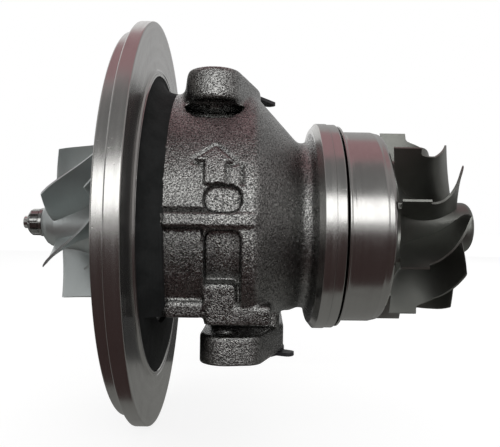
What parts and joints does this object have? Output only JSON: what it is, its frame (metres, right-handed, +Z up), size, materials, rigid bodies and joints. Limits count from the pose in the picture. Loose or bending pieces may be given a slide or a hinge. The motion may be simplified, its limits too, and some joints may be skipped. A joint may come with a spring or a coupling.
{
  "type": "turbocharger cartridge",
  "caption": "Turbocharger core: iron bearing housing with a large compressor backplate, heat shield, and a shaft that carries a bladed compressor wheel and turbine wheel.",
  "frame": {"origin": "on the rotor's axis, in the face of the bearing housing's flange that meets the turbine housing", "axes": "+X along the rotor towards the turbine, +Z up towards the oil inlet, oil drain down"},
  "size_m": [0.2042, 0.1762, 0.1762],
  "materials": {
    "cast_iron": "as cast",
    "machined_iron": "turned",
    "cast_aluminium": "satin",
    "nickel_alloy": "as cast",
    "pressed_steel": "satin",
    "shaft_steel": "ground",
    "bronze": "turned",
    "rubber": "matte",
    "plug_plastic": "moulded"
  },
  "bodies": {
    "housing": {"bearing_housing": "cast_iron", "compressor_backplate": "machined_iron", "backplate_o_ring": "rubber", "backplate_screw_1": "shaft_steel", "backplate_screw_2": "shaft_steel", "backplate_screw_3": "shaft_steel", "backplate_screw_4": "shaft_steel", "oil_seal_plate": "machined_iron", "seal_plate_o_ring": "rubber", "seal_plate_snap_ring": "shaft_steel", "thrust_bearing": "bronze", "oil_baffle": "pressed_steel", "bearing_circlip_1": "shaft_steel", "bearing_circlip_2": "shaft_steel", "bearing_circlip_3": "shaft_steel", "bearing_circlip_4": "shaft_steel", "turbine_piston_ring": "shaft_steel", "compressor_piston_ring": "shaft_steel", "heat_shield": "pressed_steel", "oil_inlet_plug": "plug_plastic", "oil_drain_plug": "plug_plastic"},
    "rotor": {"rotor_shaft": "shaft_steel", "turbine_wheel": "nickel_alloy", "thrust_collar": "shaft_steel", "oil_slinger": "shaft_steel", "compressor_wheel": "cast_aluminium", "compressor_locknut": "shaft_steel"},
    "turbine_bush": {"journal_bearing_turbine": "bronze"},
    "compressor_bush": {"journal_bearing_compressor": "bronze"}
  },
  "joints": [
    {"name": "rotor_spin", "type": "hinge", "parent": "housing", "child": "rotor", "pos_m": [0, 0, 0], "axis": [1, 0, 0], "continuous": true},
    {"name": "turbine_bush_spin", "type": "hinge", "parent": "housing", "child": "turbine_bush", "pos_m": [-0.0151, 0, 0], "axis": [1, 0, 0], "continuous": true},
    {"name": "compressor_bush_spin", "type": "hinge", "parent": "housing", "child": "compressor_bush", "pos_m": [-0.0439, 0, 0], "axis": [1, 0, 0], "continuous": true}
  ],
  "couplings": [
    {"joint": "turbine_bush_spin", "follows": "rotor_spin", "ratio": 0.3},
    {"joint": "compressor_bush_spin", "follows": "rotor_spin", "ratio": 0.3}
  ]
}
